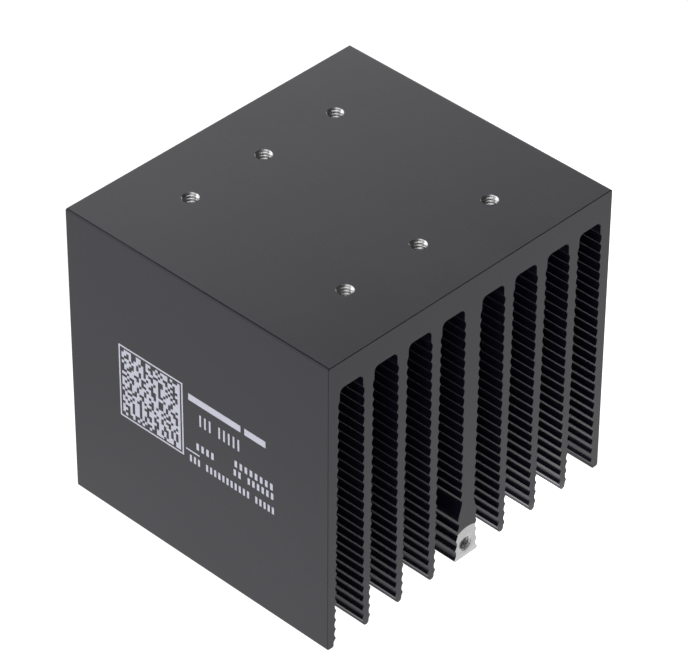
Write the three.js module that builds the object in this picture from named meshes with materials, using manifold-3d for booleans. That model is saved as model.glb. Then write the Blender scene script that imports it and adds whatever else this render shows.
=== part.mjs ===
// Heat sink for a panel-mount solid state relay: one extruded aluminium comb, black anodised.
//
// Frame: X across the fins, Y along the extrusion, Z up from the fin tips to the relay face.
// The origin is under the middle of the part, in the plane of the fin tips. Millimetres.
// The printed side looks along -X, and the sawn front end along -Y.

import * as THREE from 'three';
import { mergeVertices } from 'three/addons/utils/BufferGeometryUtils.js';
import Module from 'manifold-3d';

const wasm = await Module();
wasm.setup();

// ---------------------------------------------------------------- driving dimensions

const WIDTH = 90; // across the fins
const LENGTH = 81; // along the extrusion
const HEIGHT = 79.5; // fin tips to relay face
const BASE_THICKNESS = 7.2;

// Air channels, a row on each side of the centre web
const CHANNELS_PER_SIDE = 4;
const CHANNEL_PITCH = 10.55;
const FIRST_CHANNEL = 6.32; // middle of the part to the middle of the channel beside the web
const CHANNEL_ROOT_WIDTH = 7; // between rib crests, at the base plate
const WALL_TAPER = 0.0068; // each wall leans back this much per millimetre below the base
const OUTER_FIN_TAPER = 0.012; // the outer fins' walls lean back more
const ROOT_FILLET = 1.35;
const ROOT_FILLET_STEPS = 4;

// Ribs that run the length of every channel wall
const RIB_PITCH = 2.67;
const RIB_DEPTH = 0.5;
const TOP_GROOVE = 67.7; // height of the highest groove
const FIN_GROOVES = 25;
const WEB_GROOVES = 19; // the web stops being ribbed where it flares into the boss

// Fin tips
const FIN_TIP_RADIUS = 0.85;
const FIN_TIP_STEPS = 6;
const TIP_SHOULDER = 1.3; // height where the plain tip begins
const OUTER_TIP_THICKNESS = 2;
const OUTER_TIP_CHAMFER = 0.4;

// Screw boss at the foot of the centre web
const NECK_HALF_WIDTH = 1.9;
const NECK_HEIGHT = 17.1;
const BOSS_FOOT_HALF_WIDTH = 3.8;
const BOSS_TAPER = 0.065; // the boss narrows by this on each side per millimetre of height
const BOSS_FOOT_CHAMFER = 0.3;
const BOSS_FIRST_GROOVE = 1.9;
const BOSS_GROOVE_PITCH = 2.8;
const BOSS_GROOVES = 4;

// Tapped holes in the relay face, modelled at the tap drill's diameter (8-32 thread)
const HOLE_ROWS = 2;
const HOLE_ROW_SPACING = 47.625;
const HOLES_PER_ROW = 3;
const HOLE_SPACING = 22.86;
const RELAY_DRILL_RADIUS = 1.727;
const RELAY_HOLE_DEPTH = 5;
const RELAY_SINK_RADIUS = 2.07;
const RELAY_SINK_DEPTH = 0.34;

// Tapped hole and spot face at each end of the boss (8-32 thread). The spot face is a shallow
// pass of a half-inch end mill, whose axis runs below the hole's.
const BOSS_HOLE_HEIGHT = 3.55;
const BOSS_DRILL_RADIUS = 1.727;
const BOSS_HOLE_DEPTH = 14;
const BOSS_SINK_RADIUS = 2.6;
const BOSS_SINK_DEPTH = 0.25;
const SPOT_FACE_HEIGHT = 2.3;
const SPOT_FACE_RADIUS = 6.35;
const SPOT_FACE_DEPTH = 0.15;

const DRILL_POINT_HALF_ANGLE = THREE.MathUtils.degToRad(59);
const HOLE_SIDES = 24;
const SPOT_FACE_SIDES = 48;
const CUT_OVERRUN = 1; // how far a cutter passes through an open face

// Printing on the -X side
const PRINT_THICKNESS = 0.05;
const CODE_PANEL = { name: 'print_code_panel', size: 20.4, y: 14.4, z: 40.5 };
const CODE_PANEL_CELLS = 6;
const CODE_PANEL_LINE = 0.8;
const PRINTED_BARS = [
  { name: 'print_title_bar', width: 24, height: 3, y: -9.6, z: 48.1 },
  { name: 'print_type_bar', width: 13.4, height: 3.2, y: -7.7, z: 43.1 },
  { name: 'print_date_bar', width: 6.2, height: 1.9, y: -3, z: 35.2 },
  { name: 'print_note_bar_upper', width: 12.6, height: 1.8, y: -18.2, z: 37.3 },
  { name: 'print_note_bar_lower', width: 13, height: 1.8, y: -18.1, z: 34.7 },
  { name: 'print_pointer_bar', width: 4.2, height: 0.4, y: 1.3, z: 32.8 },
  { name: 'print_bottom_bar', width: 27, height: 1.9, y: -11.2, z: 30.7 },
];

// ---------------------------------------------------------------- profile across the fins

const CHANNEL_TOP = HEIGHT - BASE_THICKNESS;

function channelCentre(index) {
  return FIRST_CHANNEL + index * CHANNEL_PITCH;
}

function channelHalfWidth(height, taper = WALL_TAPER) {
  return CHANNEL_ROOT_WIDTH / 2 + taper * (CHANNEL_TOP - height);
}

function bossHalfWidth(height) {
  return BOSS_FOOT_HALF_WIDTH - BOSS_TAPER * height;
}

function arc(centreX, centreZ, radius, fromDegrees, toDegrees, steps) {
  const points = [];
  for (let i = 0; i <= steps; i++) {
    const angle = THREE.MathUtils.degToRad(fromDegrees + ((toDegrees - fromDegrees) * i) / steps);
    points.push([centreX + radius * Math.cos(angle), centreZ + radius * Math.sin(angle)]);
  }
  return points;
}

// Crests and grooves of a ribbed wall from bottom to top, as [height, depth of cut].
function ribs(grooveCount) {
  const rows = [];
  for (let i = grooveCount - 1; i >= 0; i--) {
    const groove = TOP_GROOVE - i * RIB_PITCH;
    rows.push([groove - RIB_PITCH / 2, 0]);
    rows.push([groove, RIB_DEPTH]);
  }
  rows.push([TOP_GROOVE + RIB_PITCH / 2, 0]);
  return rows;
}

// The wall on the web's side of a channel, going up.
function innerWall(centre, grooveCount) {
  return ribs(grooveCount).map(([z, cut]) => [centre - channelHalfWidth(z) - cut, z]);
}

// The wall on the far side of a channel, going down.
function outerWall(centre, taper) {
  const rows = ribs(FIN_GROOVES).reverse();
  return rows.map(([z, cut]) => [centre + channelHalfWidth(z, taper) + cut, z]);
}

// Flat channel root with a fillet in each corner, going outwards.
function channelRoot(centre) {
  const filletZ = CHANNEL_TOP - ROOT_FILLET;
  const filletX = channelHalfWidth(filletZ) - ROOT_FILLET;
  return [
    ...arc(centre - filletX, filletZ, ROOT_FILLET, 180, 90, ROOT_FILLET_STEPS),
    ...arc(centre + filletX, filletZ, ROOT_FILLET, 90, 0, ROOT_FILLET_STEPS),
  ];
}

function finTip(centre) {
  return [
    [centre - FIN_TIP_RADIUS, TIP_SHOULDER],
    ...arc(centre, FIN_TIP_RADIUS, FIN_TIP_RADIUS, 180, 360, FIN_TIP_STEPS),
    [centre + FIN_TIP_RADIUS, TIP_SHOULDER],
  ];
}

function outerFinTip() {
  const innerFace = WIDTH / 2 - OUTER_TIP_THICKNESS;
  return [
    [innerFace, TIP_SHOULDER],
    [innerFace, OUTER_TIP_CHAMFER],
    [innerFace + OUTER_TIP_CHAMFER, 0],
    [WIDTH / 2, 0],
  ];
}

// Right side of the boss and its flare into the web, going up.
function boss() {
  const points = [
    [BOSS_FOOT_HALF_WIDTH - BOSS_FOOT_CHAMFER, 0],
    [BOSS_FOOT_HALF_WIDTH, BOSS_FOOT_CHAMFER],
  ];
  for (let i = 0; i < BOSS_GROOVES; i++) {
    const groove = BOSS_FIRST_GROOVE + i * BOSS_GROOVE_PITCH;
    const crest = groove + BOSS_GROOVE_PITCH / 2;
    points.push([bossHalfWidth(groove) - RIB_DEPTH, groove]);
    points.push([bossHalfWidth(crest), crest]);
  }
  points.push([NECK_HALF_WIDTH, NECK_HEIGHT]);
  return points;
}

// Half of the profile, from the foot of the boss round to the middle of the relay face.
function rightHalf() {
  const points = [...boss()];
  for (let i = 0; i < CHANNELS_PER_SIDE; i++) {
    const centre = channelCentre(i);
    points.push(...innerWall(centre, i === 0 ? WEB_GROOVES : FIN_GROOVES));
    points.push(...channelRoot(centre));
    if (i < CHANNELS_PER_SIDE - 1) {
      points.push(...outerWall(centre, WALL_TAPER));
      points.push(...finTip(centre + CHANNEL_PITCH / 2));
    } else {
      points.push(...outerWall(centre, OUTER_FIN_TAPER));
    }
  }
  points.push(...outerFinTip());
  points.push([WIDTH / 2, HEIGHT]);
  return points;
}

function fullProfile() {
  const right = rightHalf();
  const left = right.map(([x, z]) => [-x, z]).reverse();
  return new THREE.Shape([...right, ...left].map(([x, z]) => new THREE.Vector2(x, z)));
}

// ---------------------------------------------------------------- joining and cutting

function toSolid(geometry) {
  geometry.deleteAttribute('normal');
  geometry.deleteAttribute('uv');
  const merged = mergeVertices(geometry, 1e-4);
  return new wasm.Manifold(
    new wasm.Mesh({
      numProp: 3,
      vertProperties: merged.attributes.position.array,
      triVerts: merged.index.array,
    }),
  );
}

function toGeometry(solid) {
  const { vertProperties, triVerts } = solid.getMesh();
  const geometry = new THREE.BufferGeometry();
  geometry.setAttribute('position', new THREE.BufferAttribute(vertProperties, 3));
  geometry.setIndex(new THREE.BufferAttribute(triVerts, 1));
  return geometry;
}

// ---------------------------------------------------------------- cutters

// A drill and its countersink, as a solid of revolution about +Y with its mouth at y = 0.
function drill(radius, depth, sinkRadius, sinkDepth) {
  const pointLength = radius / Math.tan(DRILL_POINT_HALF_ANGLE);
  const outline = [
    new THREE.Vector2(0, -depth - pointLength),
    new THREE.Vector2(radius, -depth),
    new THREE.Vector2(radius, -sinkDepth),
    new THREE.Vector2(sinkRadius, 0),
    new THREE.Vector2(sinkRadius, CUT_OVERRUN),
    new THREE.Vector2(0, CUT_OVERRUN),
  ];
  return new THREE.LatheGeometry(outline, HOLE_SIDES);
}

function relayHole(x, y) {
  const cutter = drill(
    RELAY_DRILL_RADIUS,
    RELAY_HOLE_DEPTH,
    RELAY_SINK_RADIUS,
    RELAY_SINK_DEPTH,
  );
  return toSolid(cutter.rotateX(Math.PI / 2).translate(x, y, HEIGHT));
}

// The hole in the boss's end face, side = -1 at the front and +1 at the back.
function bossHole(side) {
  const cutter = drill(BOSS_DRILL_RADIUS, BOSS_HOLE_DEPTH, BOSS_SINK_RADIUS, BOSS_SINK_DEPTH);
  const mouth = side * (LENGTH / 2 - SPOT_FACE_DEPTH);
  return toSolid(cutter.rotateZ(side > 0 ? 0 : Math.PI).translate(0, mouth, BOSS_HOLE_HEIGHT));
}

// The end mill's path: in from below the boss and up past the hole.
function spotFace(side) {
  const outline = new THREE.Shape();
  outline.moveTo(-SPOT_FACE_RADIUS, -CUT_OVERRUN);
  outline.lineTo(SPOT_FACE_RADIUS, -CUT_OVERRUN);
  outline.lineTo(SPOT_FACE_RADIUS, SPOT_FACE_HEIGHT);
  outline.absarc(0, SPOT_FACE_HEIGHT, SPOT_FACE_RADIUS, 0, Math.PI, false);
  outline.closePath();
  const cutter = new THREE.ExtrudeGeometry(outline, {
    depth: SPOT_FACE_DEPTH + CUT_OVERRUN,
    bevelEnabled: false,
    curveSegments: SPOT_FACE_SIDES / 2,
  });
  const nearFace = side > 0 ? LENGTH / 2 + CUT_OVERRUN : -LENGTH / 2 + SPOT_FACE_DEPTH;
  return toSolid(cutter.rotateX(Math.PI / 2).translate(0, nearFace, 0));
}

// ---------------------------------------------------------------- sub-parts

function heatSink() {
  const bar = new THREE.ExtrudeGeometry(fullProfile(), { depth: LENGTH, bevelEnabled: false });
  let solid = toSolid(bar.rotateX(Math.PI / 2).translate(0, LENGTH / 2, 0));
  for (let row = 0; row < HOLE_ROWS; row++) {
    for (let i = 0; i < HOLES_PER_ROW; i++) {
      const x = (i - (HOLES_PER_ROW - 1) / 2) * HOLE_SPACING;
      const y = (row - (HOLE_ROWS - 1) / 2) * HOLE_ROW_SPACING;
      solid = solid.subtract(relayHole(x, y));
    }
  }
  for (const side of [-1, 1]) {
    solid = solid.subtract(spotFace(side));
    solid = solid.subtract(bossHole(side));
  }
  return toGeometry(solid);
}

// A printed rectangle, thin along X.
function printedBar(width, height) {
  return new THREE.BoxGeometry(PRINT_THICKNESS, width, height);
}

// Square plate with a plain grid of windows.
function printedCodePanel() {
  let panel = toSolid(printedBar(CODE_PANEL.size, CODE_PANEL.size));
  const cell = (CODE_PANEL.size - CODE_PANEL_LINE) / CODE_PANEL_CELLS;
  const gap = cell - CODE_PANEL_LINE;
  for (let column = 0; column < CODE_PANEL_CELLS; column++) {
    for (let row = 0; row < CODE_PANEL_CELLS; row++) {
      const y = (column - (CODE_PANEL_CELLS - 1) / 2) * cell;
      const z = (row - (CODE_PANEL_CELLS - 1) / 2) * cell;
      const window = new THREE.BoxGeometry(3 * PRINT_THICKNESS, gap, gap);
      panel = panel.subtract(toSolid(window.translate(0, y, z)));
    }
  }
  return toGeometry(panel);
}

// ---------------------------------------------------------------- the object

const blackAnodised = new THREE.MeshStandardMaterial({
  color: 0x2b2b2d,
  roughness: 0.5,
  metalness: 0.6,
});
const markingInk = new THREE.MeshStandardMaterial({
  color: 0xcdcddc,
  roughness: 0.6,
  metalness: 0,
});

const group = new THREE.Group();

function addMesh(name, geometry, material) {
  const mesh = new THREE.Mesh(geometry, material);
  mesh.name = name;
  group.add(mesh);
  return mesh;
}

function addPrint(geometry, { name, y, z }) {
  const mesh = addMesh(name, geometry, markingInk);
  mesh.position.set(-WIDTH / 2 - PRINT_THICKNESS / 2, y, z);
}

addMesh('heat_sink', heatSink(), blackAnodised);
addPrint(printedCodePanel(), CODE_PANEL);
for (const bar of PRINTED_BARS) {
  addPrint(printedBar(bar.width, bar.height), bar);
}

export default group;
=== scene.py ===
"""Looks of a black-anodised extruded heat sink for a panel-mount relay.

X runs across the fins, Y along the extrusion and Z up from the fin tips to the relay face.
The body is one closed mesh: a fine profile drawn out along Y, then milled, drilled and tapped.
"""

import math
import random

import bmesh
import bpy
from mathutils import Matrix, Vector


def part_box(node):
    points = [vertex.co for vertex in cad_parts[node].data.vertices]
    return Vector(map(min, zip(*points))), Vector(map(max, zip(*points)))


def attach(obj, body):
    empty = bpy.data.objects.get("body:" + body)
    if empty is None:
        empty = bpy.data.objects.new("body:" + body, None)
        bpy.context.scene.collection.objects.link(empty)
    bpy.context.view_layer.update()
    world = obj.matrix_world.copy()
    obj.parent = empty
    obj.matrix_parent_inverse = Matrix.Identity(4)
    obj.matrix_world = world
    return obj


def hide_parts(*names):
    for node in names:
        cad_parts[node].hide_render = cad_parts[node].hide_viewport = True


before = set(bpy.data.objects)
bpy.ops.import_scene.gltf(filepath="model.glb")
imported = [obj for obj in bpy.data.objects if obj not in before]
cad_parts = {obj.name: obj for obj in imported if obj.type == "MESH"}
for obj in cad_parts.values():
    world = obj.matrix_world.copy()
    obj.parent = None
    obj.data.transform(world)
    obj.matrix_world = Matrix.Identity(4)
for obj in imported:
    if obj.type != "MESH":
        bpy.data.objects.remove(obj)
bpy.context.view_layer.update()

MM = 0.001

# ------------------------------------------------------------------ sizes from the frame

LOW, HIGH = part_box("heat_sink")
HALF_WIDTH = (HIGH.x - LOW.x) / 2
HALF_LENGTH = (HIGH.y - LOW.y) / 2
HEIGHT = HIGH.z - LOW.z

# ------------------------------------------------------------------ sizes of the profile

BASE_THICKNESS = 7.2 * MM
CHANNELS_PER_SIDE = 4
CHANNEL_PITCH = 10.55 * MM
FIRST_CHANNEL = 6.32 * MM
CHANNEL_ROOT_WIDTH = 7 * MM
WALL_TAPER = 0.0068
OUTER_FIN_TAPER = 0.012
ROOT_FILLET = 1.35 * MM
OUTER_CORNER = 0.5 * MM

RIB_PITCH = 2.67 * MM
RIB_DEPTH = 0.55 * MM
CREST_ROUNDING = 0.1 * MM
RIB_STEPS = 10
TOP_GROOVE = 67.7 * MM
FIN_GROOVES = 25
WEB_GROOVES = 19

TIP_RADIUS = 0.85 * MM
TIP_SHOULDER = 1.2 * MM
OUTER_TIP_THICKNESS = 2 * MM
OUTER_TIP_CHAMFER = 0.4 * MM

NECK_HALF_WIDTH = 1.9 * MM
NECK_HEIGHT = 17.1 * MM
BOSS_FOOT_HALF_WIDTH = 3.8 * MM
BOSS_TAPER = 0.065
BOSS_FIRST_GROOVE = 1.9 * MM
BOSS_GROOVE_PITCH = 2.8 * MM
BOSS_GROOVES = 4

SAWN_EDGE = 0.13 * MM  # deburred edge round the outside of each sawn end
CHANNEL_EDGE = 0.05 * MM  # the same edge along the ribs

CORNER_STEPS = 5
FILLET_STEPS = 8
TIP_STEPS = 14
SHOULDER_STEPS = 6
FLARE_STEPS = 10

# ------------------------------------------------------------------ sizes of the machining

HOLE_ROW_SPACING = 47.625 * MM
HOLE_SPACING = 22.86 * MM
THREAD_PITCH = 0.794 * MM
RELAY_THREAD = {"minor": 1.69 * MM, "major": 2.07 * MM, "depth": 5 * MM, "mouth": 2.07 * MM}
BOSS_THREAD = {"minor": 1.69 * MM, "major": 2.07 * MM, "depth": 14 * MM, "mouth": 1.7 * MM}
BOSS_SINK_RADIUS = 2.6 * MM
BOSS_SINK_DEPTH = 0.25 * MM
SINK_OVERSHOOT = 1.2  # the cone that cuts the countersink runs on into the bore by this much
DRILL_POINT_SLOPE = math.tan(math.radians(31))
DRILL_POINT_BLUNTING = 0.02  # share of the drill's radius left at its point
THREAD_SIDES = 28  # also the rows of faces in one turn of thread
THREAD_FLAT = 0.125  # cut off a sharp thread at its crest and at its root, as a share of its depth

BOSS_HOLE_HEIGHT = 3.55 * MM
SPOT_FACE_HEIGHT = 2.3 * MM
SPOT_FACE_RADIUS = 6.35 * MM
SPOT_FACE_DEPTH = 0.15 * MM
SPOT_FACE_STEPS = 96
SINK_STEPS = 64
CUT_OVERRUN = 1 * MM
SHARP_ANGLE = math.radians(32)

# ------------------------------------------------------------------ sizes of the printing

CODE_LINE = 0.42 * MM
CODE_CELLS = 24
CODE_MARGIN = 0.9 * MM
CODE_GAP = 0.03 * MM
WORD_GAP = 0.05  # share of a printed line's length


# ------------------------------------------------------------------ profile across the fins

def arc(centre_x, centre_z, radius, start, stop, steps):
    """Points on an arc, with its angles in degrees."""
    points = []
    for i in range(steps + 1):
        angle = math.radians(start + (stop - start) * i / steps)
        points.append((centre_x + radius * math.cos(angle), centre_z + radius * math.sin(angle)))
    return points


def smooth(t):
    """Eases in and out between 0 and 1."""
    return t * t * (3 - 2 * t)


def channel_top():
    return HEIGHT - BASE_THICKNESS


def channel_half_width(z, taper=WALL_TAPER):
    return CHANNEL_ROOT_WIDTH / 2 + taper * (channel_top() - z)


def rib_cut(phase):
    """Depth of a round groove, from one crest at phase -1 to the next at +1."""
    bowl = RIB_DEPTH * (1 - phase * phase)
    return math.hypot(bowl, CREST_ROUNDING) - CREST_ROUNDING


def rib_rows(lowest, pitch, count):
    """(height, depth of cut) up a ribbed wall, from the crest under its lowest groove."""
    rows = []
    for groove in range(count):
        for step in range(RIB_STEPS):
            phase = 2 * step / RIB_STEPS - 1
            rows.append((lowest + (groove + phase / 2) * pitch, rib_cut(phase)))
    rows.append((lowest + (count - 0.5) * pitch, 0))
    return rows


def wall_rows(count):
    """Rows of a channel wall, its grooves counted down from the one nearest the root."""
    return rib_rows(TOP_GROOVE - (count - 1) * RIB_PITCH, RIB_PITCH, count)


def inner_wall(centre, count):
    """The channel wall nearest the web, going up."""
    return [(centre - channel_half_width(z) - cut, z) for z, cut in wall_rows(count)]


def outer_wall(centre, taper=WALL_TAPER):
    """The far channel wall, going down."""
    rows = reversed(wall_rows(FIN_GROOVES))
    return [(centre + channel_half_width(z, taper) + cut, z) for z, cut in rows]


def channel_root(centre):
    fillet_z = channel_top() - ROOT_FILLET
    fillet_x = channel_half_width(fillet_z) - ROOT_FILLET
    left = arc(centre - fillet_x, fillet_z, ROOT_FILLET, 180, 90, FILLET_STEPS)
    right = arc(centre + fillet_x, fillet_z, ROOT_FILLET, 90, 0, FILLET_STEPS)
    return left + right


def shoulder(crest_x, crest_z, foot_x, foot_z):
    """Smooth step from the last crest of a wall to the plain fin tip, going down."""
    points = []
    for i in range(1, SHOULDER_STEPS + 1):
        t = i / SHOULDER_STEPS
        points.append((crest_x + (foot_x - crest_x) * smooth(t), crest_z + (foot_z - crest_z) * t))
    return points


def fin_tip(centre):
    """The rounded end of an inner fin, from its left wall to its right wall."""
    crest_z = wall_rows(FIN_GROOVES)[0][0]
    crest_half = CHANNEL_PITCH / 2 - channel_half_width(crest_z)
    down = shoulder(centre - crest_half, crest_z, centre - TIP_RADIUS, TIP_SHOULDER)
    up = [(2 * centre - x, z) for x, z in reversed(down)]
    return down + arc(centre, TIP_RADIUS, TIP_RADIUS, 180, 360, TIP_STEPS) + up


def outer_fin_tip():
    """The square end of the outer fin, from its ribbed side to its flat side."""
    crest_z = wall_rows(FIN_GROOVES)[0][0]
    last_channel = FIRST_CHANNEL + (CHANNELS_PER_SIDE - 1) * CHANNEL_PITCH
    crest_x = last_channel + channel_half_width(crest_z, OUTER_FIN_TAPER)
    inner_face = HALF_WIDTH - OUTER_TIP_THICKNESS
    points = shoulder(crest_x, crest_z, inner_face, TIP_SHOULDER)
    corner = OUTER_TIP_CHAMFER
    points += arc(inner_face + corner, corner, corner, 180, 270, CORNER_STEPS)
    points += arc(HALF_WIDTH - OUTER_CORNER, OUTER_CORNER, OUTER_CORNER, 270, 360, CORNER_STEPS)
    return points


def boss_half_width(z):
    return BOSS_FOOT_HALF_WIDTH - BOSS_TAPER * z


def boss():
    """Right side of the screw boss and its flare into the web, going up."""
    corner_x = BOSS_FOOT_HALF_WIDTH - OUTER_CORNER
    points = arc(corner_x, OUTER_CORNER, OUTER_CORNER, 270, 360, CORNER_STEPS)
    for z, cut in rib_rows(BOSS_FIRST_GROOVE, BOSS_GROOVE_PITCH, BOSS_GROOVES):
        if z > points[-1][1] + OUTER_CORNER:
            points.append((boss_half_width(z) - cut, z))
    start, shoulder_z = points[-1]
    for i in range(1, FLARE_STEPS + 1):
        t = i / FLARE_STEPS
        half = start + (NECK_HALF_WIDTH - start) * smooth(t)
        points.append((half, shoulder_z + (NECK_HEIGHT - shoulder_z) * t))
    return points


def right_half():
    """The profile at +X, from the foot of the boss round to the relay face."""
    points = boss()
    for i in range(CHANNELS_PER_SIDE):
        centre = FIRST_CHANNEL + i * CHANNEL_PITCH
        points += inner_wall(centre, WEB_GROOVES if i == 0 else FIN_GROOVES)
        points += channel_root(centre)
        if i < CHANNELS_PER_SIDE - 1:
            points += outer_wall(centre)
            points += fin_tip(centre + CHANNEL_PITCH / 2)
        else:
            points += outer_wall(centre, OUTER_FIN_TAPER)
    points += outer_fin_tip()
    corner_x = HALF_WIDTH - OUTER_CORNER
    points += arc(corner_x, HEIGHT - OUTER_CORNER, OUTER_CORNER, 0, 90, CORNER_STEPS)
    return points


def full_profile():
    right = right_half()
    return right + [(-x, z) for x, z in reversed(right)]


def edge_break(x, z):
    """How much of the edge is taken off here: more on the outside than on the ribs."""
    outside = abs(x) > HALF_WIDTH - OUTER_CORNER or z > HEIGHT - OUTER_CORNER
    return SAWN_EDGE if outside else CHANNEL_EDGE


def shrink(points):
    """The closed outline of a sawn end, moved inwards by its broken edge."""
    moved = []
    count = len(points)
    for i, (x, z) in enumerate(points):
        before = Vector((x - points[i - 1][0], z - points[i - 1][1])).normalized()
        after_x, after_z = points[(i + 1) % count]
        after = Vector((after_x - x, after_z - z)).normalized()
        tangent = (before + after).normalized()
        distance = edge_break(x, z) / max(0.5, tangent.dot(after))
        moved.append((x - tangent.y * distance, z + tangent.x * distance))
    return moved


# ------------------------------------------------------------------ mesh helpers

def finish_mesh(bm, name, material):
    """Turns a bmesh into an object with one material."""
    bmesh.ops.recalc_face_normals(bm, faces=bm.faces)
    mesh = bpy.data.meshes.new(name)
    bm.to_mesh(mesh)
    bm.free()
    mesh.materials.append(material)
    piece = bpy.data.objects.new(name, mesh)
    bpy.context.scene.collection.objects.link(piece)
    return piece


def bridge(bm, lower, upper, triangles):
    """Faces between two rings, as quads or as triangles that all lean the same way."""
    count = len(lower)
    for i in range(count):
        j = (i + 1) % count
        if triangles:
            bm.faces.new((lower[i], lower[j], upper[i]))
            bm.faces.new((lower[j], upper[j], upper[i]))
        else:
            bm.faces.new((lower[i], lower[j], upper[j], upper[i]))


def draw_out(name, sections, material, triangles=False):
    """A closed solid through rings of points that all have the same number of points."""
    bm = bmesh.new()
    rings = [[bm.verts.new(point) for point in section] for section in sections]
    for lower, upper in zip(rings, rings[1:]):
        bridge(bm, lower, upper, triangles)
    bm.faces.new(rings[0])
    bm.faces.new(rings[-1])
    return finish_mesh(bm, name, material)


def smooth_with_sharp_edges(piece):
    """Smooth shading with sharp corners. The wide flat faces stay flat."""
    mesh = piece.data
    mesh.shade_smooth()
    mesh.set_sharp_from_angle(angle=SHARP_ANGLE)
    reach = 0.001 * MM
    for polygon in mesh.polygons:
        on_side = abs(polygon.center.x) > HALF_WIDTH - reach
        on_top = polygon.center.z > HEIGHT - reach
        on_spot_face = abs(abs(polygon.center.y) - HALF_LENGTH + SPOT_FACE_DEPTH) < reach
        polygon.use_smooth = not (on_side or on_top or on_spot_face)


def cut(piece, cutters):
    """Cuts each cutter out of the piece. Cut faces take the cutter's material."""
    for cutter in cutters:
        modifier = piece.modifiers.new("cut", "BOOLEAN")
        modifier.operation = "DIFFERENCE"
        modifier.solver = "EXACT"
        modifier.material_mode = "TRANSFER"
        modifier.object = cutter
    evaluated = piece.evaluated_get(bpy.context.evaluated_depsgraph_get())
    mesh = bpy.data.meshes.new_from_object(evaluated)
    piece.modifiers.clear()
    piece.data = mesh
    for cutter in cutters:
        bpy.data.objects.remove(cutter)


# ------------------------------------------------------------------ body and machining

def extruded_bar(material):
    outline = full_profile()
    edge = shrink(outline)
    rows = [
        (edge, -HALF_LENGTH),
        (outline, -HALF_LENGTH + SAWN_EDGE),
        (outline, HALF_LENGTH - SAWN_EDGE),
        (edge, HALF_LENGTH),
    ]
    sections = [[(x, y, z) for x, z in points] for points, y in rows]
    return draw_out("heat_sink_body", sections, material)


def thread_radius(thread, depth, turn):
    """Radius of the tapped hole at a depth below its mouth and at an angle, in turns."""
    phase = (depth / THREAD_PITCH - turn) % 1
    flank = (1 + 2 * THREAD_FLAT) * (1 - abs(2 * phase - 1)) - THREAD_FLAT
    height = min(1, max(0, flank))
    runout = min(1, max(0, (thread["depth"] - depth) / THREAD_PITCH))
    radius = thread["minor"] + (thread["major"] - thread["minor"]) * height * runout
    return max(radius, thread["mouth"] - depth)


def ring(z, radii):
    """Points round the Z axis, one for each radius."""
    points = []
    for i, radius in enumerate(radii):
        angle = 2 * math.pi * i / len(radii)
        points.append((radius * math.cos(angle), radius * math.sin(angle), z))
    return points


def tap(name, thread, place, material):
    """A cutter in the shape of a drilled and tapped hole, its mouth at z = 0.

    The thread moves on by one row of faces for each side, so the diagonals follow its crests.
    """
    turns = [i / THREAD_SIDES for i in range(THREAD_SIDES)]
    row_height = THREAD_PITCH / THREAD_SIDES
    rows = int(thread["depth"] / row_height)
    point_length = thread["minor"] * DRILL_POINT_SLOPE * (1 - DRILL_POINT_BLUNTING)
    point_radius = thread["minor"] * DRILL_POINT_BLUNTING
    sections = [ring(-thread["depth"] - point_length, [point_radius] * THREAD_SIDES)]
    for row in range(rows, -1, -1):
        depth = row * row_height
        sections.append(ring(-depth, [thread_radius(thread, depth, turn) for turn in turns]))
    sections.append(ring(CUT_OVERRUN, [thread["mouth"] + CUT_OVERRUN] * THREAD_SIDES))
    cutter = draw_out(name, sections, material, triangles=True)
    cutter.data.transform(place)
    return cutter


def relay_taps(material):
    cutters = []
    for y in (-HOLE_ROW_SPACING / 2, HOLE_ROW_SPACING / 2):
        for x in (-HOLE_SPACING, 0, HOLE_SPACING):
            place = Matrix.Translation((x, y, HEIGHT))
            cutters.append(tap("relay_tap", RELAY_THREAD, place, material))
    return cutters


def boss_tap(side, material):
    mouth = Matrix.Translation((0, side * (HALF_LENGTH - SPOT_FACE_DEPTH), BOSS_HOLE_HEIGHT))
    turn = Matrix.Rotation(-side * math.pi / 2, 4, "X")
    return tap("boss_tap", BOSS_THREAD, mouth @ turn, material)


def boss_sink(side, material):
    """The shallow countersink of the boss hole, ending inside its bore."""
    mouth = side * (HALF_LENGTH - SPOT_FACE_DEPTH)
    end_radius = BOSS_SINK_RADIUS - SINK_OVERSHOOT * (BOSS_SINK_RADIUS - BOSS_THREAD["minor"])
    steps = [
        (-CUT_OVERRUN, BOSS_SINK_RADIUS),
        (0, BOSS_SINK_RADIUS),
        (SINK_OVERSHOOT * BOSS_SINK_DEPTH, end_radius),
    ]
    rings = []
    for depth, radius in steps:
        circle = arc(0, BOSS_HOLE_HEIGHT, radius, 0, 360, SINK_STEPS)[:-1]
        rings.append([(x, mouth - side * depth, z) for x, z in circle])
    return draw_out("boss_sink", rings, material)


def spot_face(side, material):
    """The path of the end mill: in from under the boss and up to the hole."""
    outline = [(-SPOT_FACE_RADIUS, -CUT_OVERRUN), (SPOT_FACE_RADIUS, -CUT_OVERRUN)]
    outline += arc(0, SPOT_FACE_HEIGHT, SPOT_FACE_RADIUS, 0, 180, SPOT_FACE_STEPS)
    depths = (HALF_LENGTH - SPOT_FACE_DEPTH, HALF_LENGTH + CUT_OVERRUN)
    sections = [[(x, side * depth, z) for x, z in outline] for depth in depths]
    return draw_out("spot_face", sections, material)


def heat_sink_body(anodised, spot_metal, boss_metal, relay_metal):
    """The bar, with its boss tapped before the spot faces cut its mouth back."""
    body = extruded_bar(anodised)
    cut(body, [boss_tap(-1, boss_metal), boss_tap(1, boss_metal)])
    cut(body, [spot_face(-1, spot_metal), spot_face(1, spot_metal)])
    cut(body, [boss_sink(-1, spot_metal), boss_sink(1, spot_metal)] + relay_taps(relay_metal))
    smooth_with_sharp_edges(body)
    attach(body, "root")
    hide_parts("heat_sink")


# ------------------------------------------------------------------ printing

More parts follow.
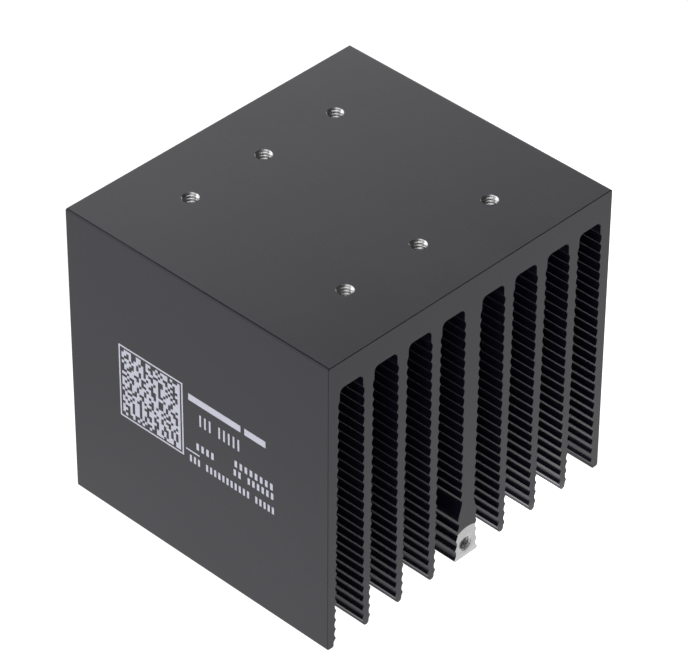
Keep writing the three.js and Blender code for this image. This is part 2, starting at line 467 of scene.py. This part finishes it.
def printed_piece(name, node, rectangles, material):
    """Thin closed plates on the -X face. Each rectangle is (low y, low z, high y, high z)."""
    low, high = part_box(node)
    bm = bmesh.new()
    for y0, z0, y1, z1 in rectangles:
        place = Matrix.Translation(((low.x + high.x) / 2, (y0 + y1) / 2, (z0 + z1) / 2))
        size = Matrix.Diagonal((high.x - low.x, y1 - y0, z1 - z0, 1))
        bmesh.ops.create_cube(bm, size=1, matrix=place @ size)
    piece = finish_mesh(bm, name, material)
    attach(piece, "root")
    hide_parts(node)


def code_panel_rectangles(node):
    """A plain frame round a seeded field of short bars, which says nothing."""
    low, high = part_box(node)
    inner_low = low.z + CODE_LINE
    inner_high = high.z - CODE_LINE
    rectangles = [
        (low.y, low.z, high.y, inner_low),
        (low.y, inner_high, high.y, high.z),
        (low.y, inner_low, low.y + CODE_LINE, inner_high),
        (high.y - CODE_LINE, inner_low, high.y, inner_high),
    ]
    step = (high.y - low.y - 2 * CODE_MARGIN) / CODE_CELLS
    draw = random.Random(5)
    for row in range(CODE_CELLS):
        z = low.z + CODE_MARGIN + row * step
        column = 0
        while column < CODE_CELLS:
            run = draw.choice((1, 1, 1, 2, 2, 3))
            run = min(run, CODE_CELLS - column)
            y = low.y + CODE_MARGIN + column * step
            rectangles.append((y, z, y + run * step - CODE_GAP, z + step - CODE_GAP))
            column += run + draw.choice((1, 1, 1, 2, 2))
    return rectangles


def word_rectangles(node, words, fill):
    """Plain bars in place of a line of words. A word is a share of the line's length."""
    low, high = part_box(node)
    height = (high.z - low.z) * fill
    middle = (low.z + high.z) / 2
    gap = WORD_GAP * (high.y - low.y)
    room = (high.y - low.y) - gap * (len(words) - 1)
    rectangles = []
    y = high.y
    for word in words:
        length = room * word / sum(words)
        rectangles.append((y - length, middle - height / 2, y, middle + height / 2))
        y -= length + gap
    return rectangles


def stroke_rectangles(node, words, weight):
    """Plain upright strokes in place of a line of words. A word is a number of strokes.

    The weight is the share of a stroke's room that it fills.
    """
    low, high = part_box(node)
    step = (high.y - low.y) / (sum(words) + len(words) - 1)
    rectangles = []
    y = high.y
    for word in words:
        for _ in range(word):
            rectangles.append((y - step * weight, low.z, y, high.z))
            y -= step
        y -= step
    return rectangles


def side_printing(material):
    code_node = "print_code_panel"
    printed_piece("code_panel_print", code_node, code_panel_rectangles(code_node), material)
    bars = {
        "title": ("print_title_bar", (5, 2), 0.6),
        "pointer": ("print_pointer_bar", (1,), 1),
    }
    for label, (node, words, fill) in bars.items():
        printed_piece(label + "_print", node, word_rectangles(node, words, fill), material)
    strokes = {
        "type": ("print_type_bar", (3, 5), 0.35),
        "date": ("print_date_bar", (4,), 0.5),
        "note_upper": ("print_note_bar_upper", (8,), 0.5),
        "note_lower": ("print_note_bar_lower", (2, 6), 0.5),
        "bottom": ("print_bottom_bar", (3, 11, 5), 0.5),
    }
    for label, (node, words, weight) in strokes.items():
        printed_piece(label + "_print", node, stroke_rectangles(node, words, weight), material)


# ------------------------------------------------------------------ materials

def new_material(name, color, metallic, roughness, ior):
    material = bpy.data.materials.new(name)
    material.use_nodes = True
    shader = material.node_tree.nodes["Principled BSDF"]
    shader.inputs["Base Color"].default_value = (*color, 1)
    shader.inputs["Metallic"].default_value = metallic
    shader.inputs["Roughness"].default_value = roughness
    shader.inputs["IOR"].default_value = ior
    return material, material.node_tree, shader


def add_node(tree, kind, **settings):
    node = tree.nodes.new(kind)
    for key, value in settings.items():
        setattr(node, key, value)
    return node


def stretched_noise(tree, scale):
    """Noise over object coordinates, drawn out where the scale is small."""
    place = add_node(tree, "ShaderNodeTexCoord")
    mapping = add_node(tree, "ShaderNodeMapping")
    mapping.inputs["Scale"].default_value = scale
    noise = add_node(tree, "ShaderNodeTexNoise")
    noise.inputs["Scale"].default_value = 1
    noise.inputs["Detail"].default_value = 3
    tree.links.new(place.outputs["Object"], mapping.inputs["Vector"])
    tree.links.new(mapping.outputs["Vector"], noise.inputs["Vector"])
    return noise.outputs["Fac"]


def spread(tree, value, low, high):
    """Maps the middle of a noise value's range to another range, in proportion."""
    ramp = add_node(tree, "ShaderNodeMapRange")
    ramp.inputs["From Min"].default_value = 0.3
    ramp.inputs["From Max"].default_value = 0.7
    ramp.inputs["To Min"].default_value = low
    ramp.inputs["To Max"].default_value = high
    tree.links.new(value, ramp.inputs["Value"])
    return ramp.outputs["Result"]


def black_anodised():
    """Satin black with die lines along Y, and the saw's marks across both ends."""
    material, tree, shader = new_material("black_anodised", (0.006, 0.0048, 0.0115), 0, 0.27, 1.4)
    die_lines = stretched_noise(tree, (2600, 12, 2600))
    saw_marks = stretched_noise(tree, (40, 40, 2400))
    surface = add_node(tree, "ShaderNodeNewGeometry")
    parts = add_node(tree, "ShaderNodeSeparateXYZ")
    tree.links.new(surface.outputs["Normal"], parts.inputs["Vector"])
    sawn = add_node(tree, "ShaderNodeMath", operation="ABSOLUTE")
    tree.links.new(parts.outputs["Y"], sawn.inputs[0])
    marks = add_node(tree, "ShaderNodeMix")
    tree.links.new(sawn.outputs["Value"], marks.inputs["Factor"])
    tree.links.new(die_lines, marks.inputs["A"])
    tree.links.new(saw_marks, marks.inputs["B"])
    bump = add_node(tree, "ShaderNodeBump")
    bump.inputs["Strength"].default_value = 0.14
    bump.inputs["Distance"].default_value = 0.02 * MM
    tree.links.new(marks.outputs["Result"], bump.inputs["Height"])
    tree.links.new(bump.outputs["Normal"], shader.inputs["Normal"])
    mottle = stretched_noise(tree, (60, 25, 60))
    tree.links.new(spread(tree, mottle, 0.24, 0.3), shader.inputs["Roughness"])
    return material


def bare_aluminium(name, tone, roughness):
    """Freshly cut metal, with the cutter's fine marks."""
    material, tree, shader = new_material(name, (tone, 0.99 * tone, tone), 1, roughness, 1.5)
    grain = stretched_noise(tree, (900, 5000, 5000))
    grained = spread(tree, grain, roughness - 0.07, roughness + 0.07)
    tree.links.new(grained, shader.inputs["Roughness"])
    bump = add_node(tree, "ShaderNodeBump")
    bump.inputs["Strength"].default_value = 0.2
    bump.inputs["Distance"].default_value = 0.01 * MM
    tree.links.new(grain, bump.inputs["Height"])
    tree.links.new(bump.outputs["Normal"], shader.inputs["Normal"])
    return material


def marking_ink():
    material, tree, shader = new_material("marking_ink", (0.54, 0.54, 0.63), 0, 0.55, 1.45)
    grain = stretched_noise(tree, (1500, 1500, 1500))
    tree.links.new(spread(tree, grain, 0.45, 0.65), shader.inputs["Roughness"])
    return material


def ranged(tree, value, from_low, from_high, to_low, to_high):
    """Maps one range to another, smoothly at both ends."""
    node = add_node(tree, "ShaderNodeMapRange", interpolation_type="SMOOTHSTEP")
    node.inputs["From Min"].default_value = from_low
    node.inputs["From Max"].default_value = from_high
    node.inputs["To Min"].default_value = to_low
    node.inputs["To Max"].default_value = to_high
    tree.links.new(value, node.inputs["Value"])
    return node.outputs["Result"]


def distance_from(tree, point):
    """Distance of the shaded point from a point in object coordinates."""
    place = add_node(tree, "ShaderNodeTexCoord")
    distance = add_node(tree, "ShaderNodeVectorMath", operation="DISTANCE")
    distance.inputs[1].default_value = point
    tree.links.new(place.outputs["Object"], distance.inputs[0])
    return distance.outputs["Value"]


def combine(tree, operation, first, second):
    """Adds or multiplies two values."""
    node = add_node(tree, "ShaderNodeMath", operation=operation)
    for socket, value in zip(node.inputs, (first, second)):
        tree.links.new(value, socket)
    return node.outputs["Value"]


# Painted light on the floor: a brighter pool round the part and a second one to its right.
NEAR_PAINTED_LIGHT = 1.15
NEAR_PAINTED_LIGHT_START = 50 * MM
NEAR_PAINTED_LIGHT_END = 105 * MM
RIGHT_PAINTED_LIGHT = 0.5
RIGHT_PAINTED_LIGHT_PLACE = (130 * MM, -10 * MM, 0)
RIGHT_PAINTED_LIGHT_RADIUS = 110 * MM
# Painted shade on the floor under the part, lighter towards its ends and its right side.
SHADE_CORE = 12 * MM
SHADE_TO_ENDS = (0.4, 1.9)
SHADE_TO_RIGHT = (0.7, 1.7)
SHADE_SIDE_FADE = (HALF_WIDTH - 9 * MM, HALF_WIDTH - 2 * MM)
SHADE_END_FADE = (HALF_LENGTH - 3 * MM, HALF_LENGTH + 3 * MM)


def pale_floor():
    """A white light table with painted light: painted shade under the part, less so near its ends
    and right side, and painted pools of light round the part and to its right.
    """
    material, tree, shader = new_material("pale_floor", (0.1, 0.1, 0.1), 0, 0.9, 1.3)
    shader.inputs["Emission Color"].default_value = (1, 1, 1, 1)
    place = add_node(tree, "ShaderNodeTexCoord")
    parts = add_node(tree, "ShaderNodeSeparateXYZ")
    tree.links.new(place.outputs["Object"], parts.inputs["Vector"])
    across = add_node(tree, "ShaderNodeMath", operation="ABSOLUTE")
    tree.links.new(parts.outputs["X"], across.inputs[0])
    along = add_node(tree, "ShaderNodeMath", operation="ABSOLUTE")
    tree.links.new(parts.outputs["Y"], along.inputs[0])

    # Painted pools of light: brighter round the part and towards its right.
    from_middle = distance_from(tree, (0, 0, 0))
    near = ranged(tree, from_middle, NEAR_PAINTED_LIGHT_START, NEAR_PAINTED_LIGHT_END, NEAR_PAINTED_LIGHT, 1)
    from_right = distance_from(tree, RIGHT_PAINTED_LIGHT_PLACE)
    right = ranged(tree, from_right, 0, RIGHT_PAINTED_LIGHT_RADIUS, RIGHT_PAINTED_LIGHT, 0)
    outside = combine(tree, "ADD", near, right)
    # Painted shade under the part, mixed in only inside its footprint.
    depth = ranged(tree, along.outputs["Value"], SHADE_CORE, HALF_LENGTH, *SHADE_TO_ENDS)
    side = ranged(tree, parts.outputs["X"], -SHADE_CORE, HALF_WIDTH, *SHADE_TO_RIGHT)
    shaded = combine(tree, "MULTIPLY", depth, side)
    under_x = ranged(tree, across.outputs["Value"], *SHADE_SIDE_FADE, 1, 0)
    under_y = ranged(tree, along.outputs["Value"], *SHADE_END_FADE, 1, 0)
    level = add_node(tree, "ShaderNodeMix")
    tree.links.new(combine(tree, "MULTIPLY", under_x, under_y), level.inputs["Factor"])
    tree.links.new(outside, level.inputs["A"])
    tree.links.new(shaded, level.inputs["B"])
    tree.links.new(level.outputs["Result"], shader.inputs["Emission Strength"])
    return material


# ------------------------------------------------------------------ camera, floor and light

CAMERA_AZIMUTH = math.radians(46)
CAMERA_ELEVATION = math.radians(38.15)
CAMERA_ROLL = math.radians(0.36)
CAMERA_PLACE = Vector((-533.5, -516.7, 625)) * MM
CAMERA_LENS = 218.5

FLOOR_GAP = 0.05 * MM  # keeps the floor from lying in the same plane as the foot of the boss
FLOOR_HALF_SIZE = 6

ROOM_DARK = 0.05
ROOM_BRIGHT = 2.8
ROOM_FALLEN = 0.6  # share of the full brightness that is left straight towards the bright side
ROOM_RISE = (-0.12, 0.07)  # both ranges are cosines of the angle from that direction
ROOM_FALL = (0.15, 0.45)


def add_camera():
    """A long lens a metre away, looking down over the printed corner."""
    forward = Vector((
        math.sin(CAMERA_AZIMUTH) * math.cos(CAMERA_ELEVATION),
        math.cos(CAMERA_AZIMUTH) * math.cos(CAMERA_ELEVATION),
        -math.sin(CAMERA_ELEVATION),
    ))
    level_right = Vector((math.cos(CAMERA_AZIMUTH), -math.sin(CAMERA_AZIMUTH), 0))
    level_up = level_right.cross(forward)
    right = level_right * math.cos(CAMERA_ROLL) + level_up * math.sin(CAMERA_ROLL)
    up = level_up * math.cos(CAMERA_ROLL) - level_right * math.sin(CAMERA_ROLL)
    data = bpy.data.cameras.new("camera")
    data.sensor_fit = "HORIZONTAL"
    data.sensor_width = 36
    data.lens = CAMERA_LENS
    data.clip_end = 20
    camera = bpy.data.objects.new("camera", data)
    turn = Matrix((right, up, -forward)).transposed().to_4x4()
    camera.matrix_world = Matrix.Translation(CAMERA_PLACE) @ turn
    bpy.context.scene.collection.objects.link(camera)
    bpy.context.scene.camera = camera


def add_floor(material):
    bm = bmesh.new()
    bmesh.ops.create_grid(bm, x_segments=1, y_segments=1, size=FLOOR_HALF_SIZE)
    floor = finish_mesh(bm, "floor", material)
    floor.location.z = LOW.z - FLOOR_GAP


def add_world():
    """A soft room: bright low down behind the object, fading overhead and to the front."""
    world = bpy.data.worlds.new("studio")
    world.use_nodes = True
    tree = world.node_tree
    place = add_node(tree, "ShaderNodeTexCoord")
    toward = add_node(tree, "ShaderNodeVectorMath", operation="DOT_PRODUCT")
    toward.inputs[1].default_value = (0, math.sqrt(0.5), -math.sqrt(0.5))
    tree.links.new(place.outputs["Generated"], toward.inputs[0])
    rise = ranged(tree, toward.outputs["Value"], *ROOM_RISE, ROOM_DARK, ROOM_BRIGHT)
    fall = ranged(tree, toward.outputs["Value"], *ROOM_FALL, 1, ROOM_FALLEN)
    background = tree.nodes["Background"]
    background.inputs["Color"].default_value = (1, 1, 1, 1)
    tree.links.new(combine(tree, "MULTIPLY", rise, fall), background.inputs["Strength"])
    bpy.context.scene.world = world
    bpy.context.scene.view_settings.view_transform = "Standard"


def add_area_light(name, place, size, power):
    """A square softbox that faces the origin."""
    data = bpy.data.lights.new(name, "AREA")
    data.shape = "SQUARE"
    data.size = size
    data.energy = power
    light = bpy.data.objects.new(name, data)
    light.location = place
    light.rotation_euler = (-Vector(place)).to_track_quat("-Z", "Y").to_euler()
    bpy.context.scene.collection.objects.link(light)


add_camera()
add_world()
add_area_light("left_softbox", (-0.8, 0, 0.95), 0.9, 3)
add_area_light("overhead_softbox", (-0.05, -0.05, 1.3), 0.9, 4.2)
add_floor(pale_floor())
heat_sink_body(
    black_anodised(),
    bare_aluminium("spot_faced_aluminium", 0.42, 0.29),
    # The boss thread is given a paler tone than the relay threads: painted light to brighten the
    # deep bore.
    bare_aluminium("boss_thread_aluminium", 0.75, 0.6),
    bare_aluminium("relay_thread_aluminium", 0.55, 0.29),
)
side_printing(marking_ink())
